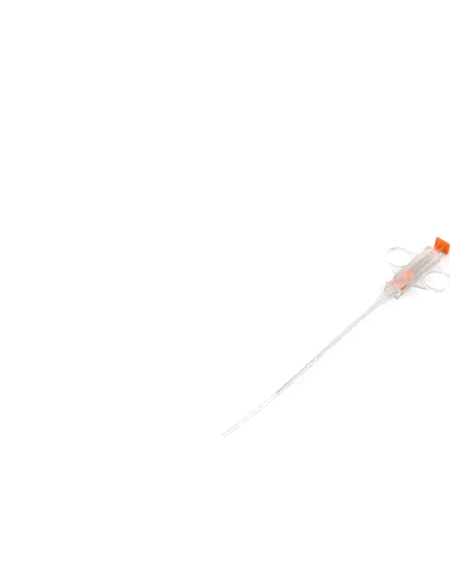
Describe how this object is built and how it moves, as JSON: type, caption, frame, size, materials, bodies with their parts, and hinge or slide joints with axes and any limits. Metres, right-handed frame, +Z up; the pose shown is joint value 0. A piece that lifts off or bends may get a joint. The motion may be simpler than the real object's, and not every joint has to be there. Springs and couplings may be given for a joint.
{
  "type": "biopsy needle",
  "caption": "Clear handle with finger rings, an orange spring-driven needle carriage and thumb plunger, a long thin cutting needle and a soft clear sheath.",
  "frame": {"origin": "middle of the handle's flat underside", "axes": "+X along the needle from its point towards the thumb plate, +Z up out of the table it lies on, +Y to the left of someone holding it"},
  "size_m": [0.2867, 0.0676, 0.0124],
  "materials": {
    "clear_plastic": "clear, polished",
    "sheath_plastic": "clear, soft",
    "orange_plastic": "satin",
    "needle_steel": "fine satin",
    "spring_steel": "drawn wire"
  },
  "bodies": {
    "handle": {"housing_base": "clear_plastic", "housing_cover": "clear_plastic", "needle_guide": "clear_plastic", "drive_spring": "spring_steel"},
    "carriage": {"carriage": "orange_plastic", "cannula": "needle_steel"},
    "plunger": {"plunger": "orange_plastic", "stylet_hub": "orange_plastic", "stylet": "needle_steel"},
    "sheath": {"sheath": "sheath_plastic"}
  },
  "joints": [
    {"name": "cocking_slide", "type": "slide", "parent": "handle", "child": "carriage", "axis": [1, 0, 0], "range_m": [0, 0.01], "stiffness_N_per_m": 300, "springref_m": -0.005, "deforming": ["drive_spring"]},
    {"name": "plunger_slide", "type": "slide", "parent": "carriage", "child": "plunger", "axis": [1, 0, 0], "range_m": [-0.01, 0]},
    {"name": "sheath_slide", "type": "slide", "parent": "handle", "child": "sheath", "axis": [-1, 0, 0], "range_m": [0, 0.165]}
  ]
}
